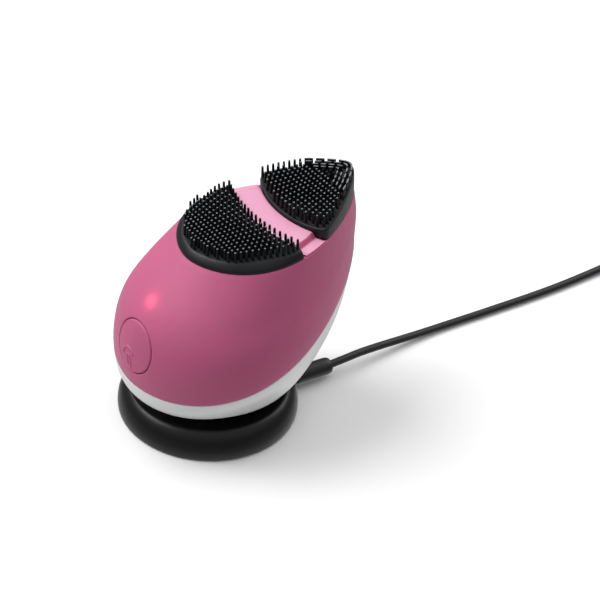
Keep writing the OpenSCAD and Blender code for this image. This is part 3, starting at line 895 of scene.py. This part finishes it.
def lower_pad():
    flat = lambda x, h: np.full(np.shape(x), h)
    lv = [(0.45, 0.2, 2.1, 0.06), (0.3, 0.15, 2.2, 0.3), (0.3, 0.13, 2.2, 0.75), (0.52, 0.15, 2.2, 1.3),
          (1.0, 0.18, 2.2, 1.95), (1.55, 0.24, 2.2, 2.55), (2.0, 0.32, 2.2, 2.95), (2.35, 0.46, 2.2, 3.2),
          (2.65, 0.65, 2.2, 3.3), (3.0, 0.95, 2.3, 3.33)]
    net = pad_base("pad", lower_f, (15.0, 0.0), lv, flat)
    build("brush_pad_lower_body", net, "silicone", "handset", replaces=("brush_pad_lower",), sharp=60)
    net = Net()
    spots = []
    ye = -0.25 + (np.arange(-9, 9) + 0.5) * 2.5          # the row that follows the hollow edge
    for y in ye:
        x = 89 - math.sqrt(59.95 ** 2 - y * y)
        if poly_sdf(np.array([[x, y]]), OUT)[0] < (-1.75 if y > 0 else -2.5):
            spots.append((x, y))
    edge_row = np.array(spots)
    for j in range(-1, 14):
        x = 5.1 + 1.89 * j
        dy = 1.8 + max(0.0, min(x, 26.5) - 11) * 0.75 / 15.5
        for k in range(-14, 15):
            y = -0.25 + (k + 0.5) * dy
            q = np.array([[x + 0.0022 * max(0.0, x - 14) / 14 * y * y, y]])
            e, d = poly_sdf(q, OUT)[0], 59.0 - math.hypot(q[0, 0] - 89, y)
            if e < -(1.3 + 1.75 * corner_slim(q[0, 0])) and d < -0.8 and np.linalg.norm(edge_row - q, axis=1).min() > 1.45:
                spots.append((q[0, 0], y))
    for x, y in spots:
        jx, jy = rng.normal(0, 0.03, 2)
        bristle(net, x + jx, y + jy, 3.25, 7.5 + rng.normal(0, 0.03), lean=tuple(rng.normal(0, 0.05, 2)))
    # lower bristles use silicone with a painted highlight on their tips
    build("brush_pad_lower_bristles", net, tip_highlight_silicone("black_silicone_tip_highlight_lower", T_O, T_UP, 7.5), "handset", sharp=70)


def rise(x):
    return 0.2 * np.maximum(np.asarray(x, float) - 42, 0)


def tip_top(x):
    return np.minimum(8.4 + rise(x), 12.0)


def tip_wall(net, pts, h0, h1, thick):
    """A thin wall standing on the pad along a line of tray points, with a rounded crest."""
    pts = np.asarray(pts, float)
    d = np.gradient(pts, axis=0)
    d /= np.linalg.norm(d, axis=1)[:, None]
    nrm = np.stack([-d[:, 1], d[:, 0]], -1)
    # round plan ends
    k = np.ones(len(pts))
    k[0] = k[-1] = 0.35
    if len(pts) > 4:
        k[1] = k[-2] = 0.85
    prof = [(-0.5, -0.3), (-0.46, 0.6), (-0.42, (h1 - h0) * 0.6), (-0.38, h1 - h0 - 0.22), (-0.24, h1 - h0 - 0.05), (0, h1 - h0),
            (0.24, h1 - h0 - 0.05), (0.38, h1 - h0 - 0.22), (0.42, (h1 - h0) * 0.6), (0.46, 0.6), (0.5, -0.3)]
    rows = []
    for i in range(len(pts)):
        low = float(rise(pts[i][0])) + h0
        q = [tray(*(pts[i] + nrm[i] * s * thick * k[i]), low + z if z < 0.3 else h1 - (1 - z / (h1 - h0)) * (h1 - low)) for s, z in prof]
        rows.append(net.add(q))
    for a, b in zip(rows[:-1], rows[1:]):
        net.strip(a, b, closed=True)
    net.cap(rows[0][::-1])
    net.cap(rows[-1])


def upper_pad():
    H = 4.0
    lv = [(0.35, 0.25, 2.2, 0.06), (0.25, 0.15, 2.3, 0.4), (0.25, 0.15, 2.3, 1.4), (0.28, 0.16, 2.3, 2.4), (0.32, 0.18, 2.3, H - 0.8),
          (0.38, 0.21, 2.3, H - 0.35), (0.5, 0.32, 2.35, H - 0.1), (0.68, 0.5, 2.4, H), (0.95, 0.8, 2.5, H - 0.04), (1.25, 1.1, 2.7, H - 0.16),
          (1.6, 1.5, 2.9, H - 0.2)]
    top = lambda x, h: np.asarray(h + rise(x) * min(max((h - 0.4) / (H - 0.75), 0.0), 1.0))
    net = pad_base("pad", upper_f, (57.0, 0.0), lv, top)
    build("brush_pad_upper_body", net, "silicone", "handset", replaces=("brush_pad_upper",), sharp=60)
    net = Net()
    fin_x = 58.6
    far = []
    th = np.linspace(0.02, math.pi - 0.02, 3000)
    P = radial(lambda q, a, b, r: poly_sdf(q, OUT) + a, (50.0, 0.0), th, (1.75, 0, 0))
    P = P[(P[:, 0] < fin_x - 0.6) & (np.hypot(P[:, 0] - 81, P[:, 1]) < 39.9) & (P[:, 1] > 0)]
    P = P[np.argsort(P[:, 0])]
    L = np.concatenate([[0], np.cumsum(np.linalg.norm(np.diff(P, axis=0), axis=1))])
    for at in np.linspace(0.1, L[-1], int(L[-1] / 1.82) + 1):
        far.append((np.interp(at, L, P[:, 0]), np.interp(at, L, P[:, 1])))
    far = np.array(far)
    for x, y in far:                              # an even row along the far edge
        bristle(net, x, y, H - 0.3 + float(rise(x)), float(tip_top(x)) + 0.25, lean=(0, 0.05))
    for x in (41.7, 43.4, 45.1, 46.8, 48.5, 50.3, 52.0, 53.8, 55.6, 57.4, 59.2, 61.0, 62.8, 64.6):
        dy = 2.5 - 0.052 * (min(x, 55.0) - 41)
        for k in range(-12, 18):
            y = -6.8 + k * dy
            q = np.array([[x + 0.0012 * y * y * max(0.0, 50 - x) / 9, y]])
            if q[0, 0] < 40.6:
                continue
            e, d = poly_sdf(q, OUT)[0], math.hypot(q[0, 0] - 81, y) - 41.0
            if np.linalg.norm(far - q, axis=1).min() < 1.4:
                continue
            if e < -1.3 and d < -1.15 and not (q[0, 0] > fin_x and e > -7.3) and not (q[0, 0] < 46 and abs(y) > 17.6):
                jx, jy = rng.normal(0, 0.03, 2)
                bristle(net, q[0, 0] + jx, y + jy, H - 0.3 + float(rise(q[0, 0])), float(tip_top(q[0, 0])) + rng.normal(0, 0.03),
                        lean=tuple(rng.normal(0, 0.05, 2)))
    # upper bristles use silicone with a painted highlight on their tips
    build("brush_pad_upper_bristles", net, tip_highlight_silicone("black_silicone_tip_highlight_upper", T_O + 42 * T_X, T_UP - 0.2 * T_X, 8.4),
          "handset", sharp=70)
    # concentric arc fins round the tip
    net = Net()
    th = np.linspace(-math.pi, math.pi, 2401)[:-1]
    for ins, seg, gap, phase in ((1.3, 3.2, 0.95, 0.0), (2.95, 2.6, 0.9, 0.5), (4.55, 2.1, 0.9, 0.0), (6.15, 1.8, 0.9, 0.5)):
        P = radial(lambda q, a, b, r: poly_sdf(q, OUT) + a, (60.0, 0.0), th, (ins, 0, 0))
        keep = P[:, 0] > fin_x + (0.4 if ins < 2 else 0.0)
        P = P[keep]
        P = P[np.argsort(np.arctan2(P[:, 1], P[:, 0] - 58))]
        L = np.concatenate([[0], np.cumsum(np.linalg.norm(np.diff(P, axis=0), axis=1))])
        mid = L[-1] / 2
        pieces = []
        if ins < 2:      # one long curved fin right at the tip, shorter ones beside it
            pieces.append((mid - 4.6, mid + 4.6))
            for k in range(6):
                s0 = 4.6 + gap + k * (seg + gap)
                pieces += [(mid + s0, mid + s0 + seg), (mid - s0 - seg, mid - s0)]
        else:
            s0 = -seg * phase
            k = 0
            while mid + s0 + k * (seg + gap) < L[-1]:
                pieces.append((mid + s0 + k * (seg + gap), mid + s0 + k * (seg + gap) + seg))
                if k > 0 or phase > 0:
                    pieces.append((mid + s0 - (k + 1) * (seg + gap) + gap * 0, mid + s0 - (k + 1) * (seg + gap) + seg))
                k += 1
        for a, b in pieces:
            a, b = max(a, 0), min(b, L[-1])
            if b - a < 1.0:
                continue
            at = np.linspace(a, b, max(5, int((b - a) / 0.45)))
            q = np.stack([np.interp(at, L, P[:, 0]), np.interp(at, L, P[:, 1])], -1)
            tip_wall(net, q, H - 0.3, 11.75, 0.78)
    # fins use silicone with a painted highlight on their crests
    build("brush_pad_upper_fins", net, tip_highlight_silicone("black_silicone_tip_highlight_fins", T_O, T_UP, 11.75), "handset", sharp=60)


# ------------------------------------------------------------------ band between the pads
def band():
    net = Net()
    pk = egg_raw(np.arange(1, 80) / 80, 0.56, 0.97).max()
    half = lambda x: 25 * egg_raw(np.clip(x / T_LEN, 1e-6, 1 - 1e-6), 0.56, 0.97) / pk
    rl, rr = 58.78, 41.22
    xl = lambda y: 89 - np.sqrt(rl ** 2 - y ** 2)
    xr = lambda y: 81 - np.sqrt(rr ** 2 - y ** 2)
    nq, npt = 22, 150
    qs = np.linspace(0, 1, nq)
    ye = []
    for q in qs:
        y = 23.0
        for _ in range(60):
            x = (1 - q) * xl(y) + q * xr(y)
            y = 0.5 * y + 0.5 * (half(x) - 0.22)
        ye.append(y)
    ye = np.array(ye)
    ps = np.sin(np.linspace(-1, 1, npt) * math.pi / 2 * 0.985) / math.sin(math.pi / 2 * 0.985)
    grid = np.zeros((npt, nq, 2))
    for a, p in enumerate(ps):
        y = p * ye
        grid[a] = np.stack([(1 - qs) * xl(y) + qs * xr(y), y], -1)
    flatp = grid.reshape(-1, 2)
    d = -poly_sdf(flatp, OUT)
    # ledge, slope and mound
    h = np.interp(d, [0.2, 0.32, 0.5, 0.75], [0.12, 0.42, 0.62, 0.7])
    ledge = 0.7 + 0.12 * np.clip((d - 0.75) / 1.6, 0, 1)
    s = np.clip((d - 3.4) / 2.6, 0, 1)
    s = s * s * s * (s * (6 * s - 15) + 10)
    h = np.where(d > 0.75, ledge + (2.95 - ledge) * s, h)
    cross = np.tile(np.abs(2 * qs - 1), npt)
    edge = np.clip((cross - 0.93) / 0.07, 0, 1)
    h = h - 0.22 * edge ** 2 * np.clip(h / 1.0, 0, 1)
    h = h - 0.10 * np.cos(np.clip(cross, 0, 1) * math.pi / 2) * s
    top = net.add(tray(flatp[:, 0], flatp[:, 1], h)).reshape(npt, nq)
    bot = net.add(tray(flatp[:, 0], flatp[:, 1], np.full(len(flatp), 0.06))).reshape(npt, nq)
    for A, flip in ((top, False), (bot, True)):
        for a in range(npt - 1):
            for b in range(nq - 1):
                f = (int(A[a, b]), int(A[a, b + 1]), int(A[a + 1, b + 1]), int(A[a + 1, b]))
                net.f.append(f[::-1] if flip else f)
    loop = [(a, 0) for a in range(npt)] + [(npt - 1, b) for b in range(1, nq)] + [(a, nq - 1) for a in range(npt - 2, -1, -1)] \
        + [(0, b) for b in range(nq - 2, 0, -1)]
    ti, bi = np.array([top[k] for k in loop]), np.array([bot[k] for k in loop])
    net.strip(ti, bi)
    return build("band_floor", net, "gloss_pink", "handset", replaces=("band_insert",), sharp=50)


# ------------------------------------------------------------------ stand
def boolean_cut(obj, cutters):
    for c in cutters:
        mod = obj.modifiers.new("cut", "BOOLEAN")
        mod.operation = "DIFFERENCE"
        mod.object = c
        mod.solver = "EXACT"
        bpy.context.view_layer.objects.active = obj
        dg = bpy.context.evaluated_depsgraph_get()
        new = bpy.data.meshes.new_from_object(obj.evaluated_get(dg))
        obj.modifiers.clear()
        old = obj.data
        obj.data = new
        bpy.data.meshes.remove(old)
    for c in cutters:
        bpy.data.objects.remove(c)


def cylinder_cutter(r, base, axis, length, n=48):
    base, axis = np.array(base, float), np.array(axis, float)
    axis /= np.linalg.norm(axis)
    u = np.cross(axis, (0, 0, 1.0) if abs(axis[2]) < 0.9 else (1.0, 0, 0))
    u /= np.linalg.norm(u)
    w = np.cross(axis, u)
    net = Net()
    a = np.arange(n) * 2 * math.pi / n
    c = np.outer(np.cos(a), u) * r + np.outer(np.sin(a), w) * r
    lo, hi = net.add(base + c), net.add(base + axis * length + c)
    net.strip(lo, hi)
    net.cap(lo[::-1])
    net.cap(hi)
    mesh = bpy.data.meshes.new("cutter")
    mesh.from_pydata([tuple(p * MM) for p in net.points()], [], net.f)
    bm = bmesh.new()
    bm.from_mesh(mesh)
    bmesh.ops.recalc_face_normals(bm, faces=bm.faces)
    bm.to_mesh(mesh)
    bm.free()
    o = bpy.data.objects.new("cutter", mesh)
    scene.collection.objects.link(o)
    return o


PLUG_A = math.radians(-4)
P_X = np.array([math.cos(PLUG_A), math.sin(PLUG_A), 0])
P_Y = np.array([-math.sin(PLUG_A), math.cos(PLUG_A), 0])


def plug_pt(x, y, z):
    return P_X * x + P_Y * (y - 6.2) + np.array([0, 0, 4.6 + z])


def stand_body():
    R, rim = 33.4, 11.2
    outer = smooth_line([(R - 0.12, 0.62), (R, 2.0), (R - 0.1, 3.8), (R - 0.45, 5.6), (R - 0.95, 7.3), (R - 1.65, 8.8),
                         (R - 2.5, 10.0), (R - 3.4, rim - 0.38), (R - 4.05, rim - 0.1), (R - 4.6, rim - 0.16), (R - 5.05, rim - 0.5)], 5)
    dish = lambda r: 6 + 4.85 * max(0.0, (r - 14.5) / 14.4) ** 1.6
    inner = [(r, dish(r)) for r in np.linspace(28.1, 14.7, 26)] + [(14.3, 5.98), (13.8, 5.96), (7, 5.96), (0, 5.96)]
    under = [(0, 4.5), (14.5, 4.5)] + [(r, dish(r) - 1.5) for r in np.arange(15.5, 27.6, 1.6)] + \
        [(28.4, 8.6), (30.2, 7.6), (31.3, 5.5), (31.5, 3), (31.5, 0.7), (31.65, 0.52), (33.0, 0.52)]
    prof = [tuple(p) for p in outer] + inner + under
    net = revolve(prof, 192)
    o = build("stand_body_shell", net, "stand", "stand", replaces=("stand_housing",), sharp=42)
    cut = [cylinder_cutter(1.75, (1.5, 6 * s, 3.5), (0, 0, 1), 5) for s in (-1, 1)]
    cut.append(cylinder_cutter(2.1, plug_pt(28.5, 0, 0), P_X, 8))
    boolean_cut(o, cut)
    for poly in o.data.polygons:
        poly.use_smooth = True
    o.data.set_sharp_from_angle(angle=math.radians(42))
    if not o.data.materials:
        o.data.materials.append(M["stand"])
    return o


# ------------------------------------------------------------------ lead
def oriented(net_pts, origin, ax, ay, az):
    return np.asarray(origin) + net_pts[:, :1] * ax + net_pts[:, 1:2] * ay + net_pts[:, 2:3] * az


def plug_grip():
    # (radius, distance along the plug)
    prof = [(0, 33.62), (2.2, 33.62), (2.85, 33.66), (3.15, 33.86), (3.28, 34.2), (3.33, 34.9), (3.35, 37.0), (3.35, 44.0), (3.33, 46.6),
            (3.26, 47.7), (3.08, 48.5), (2.8, 48.95), (2.4, 49.15), (1.9, 49.2), (1.62, 49.2), (1.62, 48.6), (0, 48.6)]
    net = revolve(prof, 72, closed_profile=False)
    P = net.points()
    net.p = [oriented(np.stack([P[:, 2], P[:, 0], P[:, 1]], -1), plug_pt(0, 0, 0), P_X, P_Y, np.array([0, 0, 1.0]))]
    return build("dc_plug_body", net, "plug", "lead", replaces=("dc_plug_grip",), sharp=45)


ROUTE = [(48.7, -9.6, 4.6), (56, -9.6, 4.6), (64, -9.2, 4.2), (75, -9.2, 3.4), (87, -9.4, 2.4), (98.5, -9.7, 1.7),
         (110, -10.4, 1.5), (121.5, -11.3, 1.5), (133, -12.1, 1.5), (145, -12.9, 1.5), (157, -13.4, 1.5), (170, -13.5, 1.5),
         (183, -13.2, 1.5), (195, -13, 1.5), (204, -13, 1.5)]
TAIL = [(212, -13, 10.8), (222, -15, 10.4), (230.5, -22, 9.4), (234.5, -32, 8.2), (233, -43, 6.8), (226.5, -52.5, 5.4),
        (217, -58.5, 4.2), (208, -59.6, 3.8)]
COIL_C = (210.0, -34.0)


def lead_points():
    pts = [tuple(p) for p in smooth_line(ROUTE, 3)]
    # turns: (from radius, to radius, number of turns, height)
    plan = [(21.0, 12.2, 3.0, 1.5), (12.2, 21.0, 3.0, 4.55), (21.0, 16.6, 1.5, 7.6), (16.6, 21.0, 1.5, 10.65)]
    th = math.pi / 2
    coil = []
    per = 30
    for k, (r0, r1, turns, z) in enumerate(plan):
        n = int(round(turns * per))
        for i in range(n + (1 if k == len(plan) - 1 else 0)):
            f = i / n
            zz = z
            if k > 0 and i < 5:     # climbs on to the next layer
                w = i / 5
                w = w * w * (3 - 2 * w)
                zz = plan[k - 1][3] + (z - plan[k - 1][3]) * w
            r = r0 + (r1 - r0) * f
            a = th - 2 * math.pi * f * turns
            coil.append((COIL_C[0] + r * math.cos(a), COIL_C[1] + r * math.sin(a), zz))
        th -= 2 * math.pi * turns
    pts += coil[1:]
    pts += [tuple(p) for p in smooth_line(TAIL, 3)][1:]
    return pts


def lead():
    pts = np.array(lead_points())
    cu = bpy.data.curves.new("charging_lead", "CURVE")
    cu.dimensions = "3D"
    sp = cu.splines.new("POLY")
    sp.points.add(len(pts) - 1)
    for i, p in enumerate(pts):
        sp.points[i].co = (p[0] * MM, p[1] * MM, p[2] * MM, 1)
    cu.bevel_depth = 1.5 * MM
    cu.bevel_resolution = 6
    cu.use_fill_caps = True
    cu.materials.append(M["cord"])
    o = bpy.data.objects.new("charging_lead", cu)
    scene.collection.objects.link(o)
    for s in cu.splines:
        s.use_smooth = True
    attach(o, "lead")
    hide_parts("cord_tube", "cord_coil", "cord_tail")
    return o, float(np.linalg.norm(np.diff(pts, axis=0), axis=1).sum()) * MM


def usb_grip():
    """Rounded overmould of the other plug, with a ribbed strain relief."""
    net = Net()
    n = 40
    a = (np.arange(n) + 0.5) * 2 * math.pi / n
    rows = []
    secs = [(178.0, 5.2, 3.1), (178.15, 5.55, 3.45), (178.6, 5.75, 3.65), (179.6, 5.8, 3.7), (188, 5.8, 3.7), (194, 5.75, 3.65),
            (196.6, 5.4, 3.5), (198.0, 4.6, 3.25), (198.5, 3.6, 3.05)]
    for x, hw, hh in secs:
        e = 5.0
        c, s = np.cos(a), np.sin(a)
        y = hw * np.sign(c) * np.abs(c) ** (2 / e)
        z = hh * np.sign(s) * np.abs(s) ** (2 / e)
        rows.append(net.add(np.stack([np.full(n, x), -59.6 + y, 3.8 + z], -1)))
    x, r = 198.5, 2.95
    relief = []
    for k in range(5):
        relief += [(x + 0.35, r), (x + 1.0, r - 0.03), (x + 1.2, r - 0.42), (x + 1.55, r - 0.45)]
        x += 1.8
        r -= 0.14
    for x, r in relief + [(207.6, 2.25), (207.8, 2.0), (207.8, 1.62)]:
        rows.append(net.add(np.stack([np.full(n, min(x, 207.8)), -59.6 + r * np.cos(a), 3.8 + r * np.sin(a)], -1)))
    for p, q in zip(rows[:-1], rows[1:]):
        net.strip(p, q)
    net.cap(rows[0][::-1])
    net.cap(rows[-1])
    return build("usb_plug_body", net, "plug", "lead", replaces=("usb_plug_grip",), sharp=40)


def pin_spring(name, side, node):
    """A coil spring of closed end turns."""
    net = Net()
    turns, per, sides = 4.2, 24, 8
    n = int(turns * per)
    b = np.arange(sides) * 2 * math.pi / sides
    prev = None
    for i in range(n + 1):
        f = i / n
        z = 3.4 + 1.22 * np.clip((f - 0.12) / 0.76, 0, 1) + 0.02 * f
        a = 2 * math.pi * turns * f
        c = np.array([1.5 + 0.75 * math.cos(a), side * 6 + 0.75 * math.sin(a), z])
        rad, up = np.array([math.cos(a), math.sin(a), 0]), np.array([0, 0, 1.0])
        ids = net.add(c + 0.11 * np.outer(np.cos(b), rad) + 0.11 * np.outer(np.sin(b), up))
        if prev is None:
            net.cap(ids[::-1])
        else:
            net.strip(prev, ids)
        prev = ids
    net.cap(prev)
    o = build(name, net, "steel", None, sharp=50, replaces=(node,))
    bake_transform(o)


front_shell()
rear_shell()
power_button()
pin_spring("pin_coil_left", 1, "pin_spring_left")
pin_spring("pin_coil_right", -1, "pin_spring_right")
lower_pad()
upper_pad()
band()
stand_body()
grip = plug_grip()
usb = usb_grip()
cord_obj, cord_len = lead()
print("cord length", cord_len)

# ------------------------------------------------------------------ floor and light
bm = bmesh.new()
bmesh.ops.create_grid(bm, x_segments=2, y_segments=2, size=6.0)
fm = bpy.data.meshes.new("floor")
bm.to_mesh(fm)
bm.free()
floor = bpy.data.objects.new("floor", fm)
floor.location = (0, 0, -0.00005)
scene.collection.objects.link(floor)
fmat, fnt, fb = new_mat("floor_pale")
fb.inputs["Base Color"].default_value = (0.93, 0.93, 0.935, 1)
fb.inputs["Roughness"].default_value = 0.9
fb.inputs["Specular IOR Level"].default_value = 0.1
fm.materials.append(fmat)
floor.visible_diffuse = False
floor.visible_glossy = False


def area(name, loc, target, size, power, color=(1, 1, 1)):
    d = bpy.data.lights.new(name, "AREA")
    d.shape = "RECTANGLE"
    d.size, d.size_y = size
    d.energy = power
    d.color = color
    o = bpy.data.objects.new(name, d)
    scene.collection.objects.link(o)
    o.location = loc
    o.rotation_mode = "QUATERNION"
    o.rotation_quaternion = (Vector(target) - Vector(loc)).to_track_quat("-Z", "Y")
    return o


w = bpy.data.worlds.new("world")
scene.world = w
w.use_nodes = True
wt = w.node_tree
w_tc = wt.nodes.new("ShaderNodeTexCoord")
w_sep = wt.nodes.new("ShaderNodeSeparateXYZ")
wt.links.new(w_tc.outputs["Generated"], w_sep.inputs[0])
w_up = maprange(wt, w_sep.outputs["Z"], 0.0, 0.75, 0.16, 0.6)
w_down = maprange(wt, math_node(wt, "MULTIPLY", w_sep.outputs["Z"], -1.0), 0.15, 0.8, 0.0, 0.75)
wt.links.new(math_node(wt, "ADD", w_up, w_down), wt.nodes["Background"].inputs[1])
wt.nodes["Background"].inputs[0].default_value = (1, 1, 1, 1)
area("key_top_back", (-0.35, 0.75, 1.15), (0.02, 0, 0.04), (1.1, 0.9), 13)
area("left_soft", (-0.85, 0.55, 1.15), (0, 0, 0.05), (0.8, 0.9), 6.0)
area("right_soft", (0.95, 0.05, 0.75), (0.03, 0, 0.05), (0.8, 0.8), 4.5)

scene.view_settings.view_transform = "Standard"
scene.view_settings.look = "None"
scene.view_settings.exposure = 0.0
scene.view_settings.gamma = 1.0
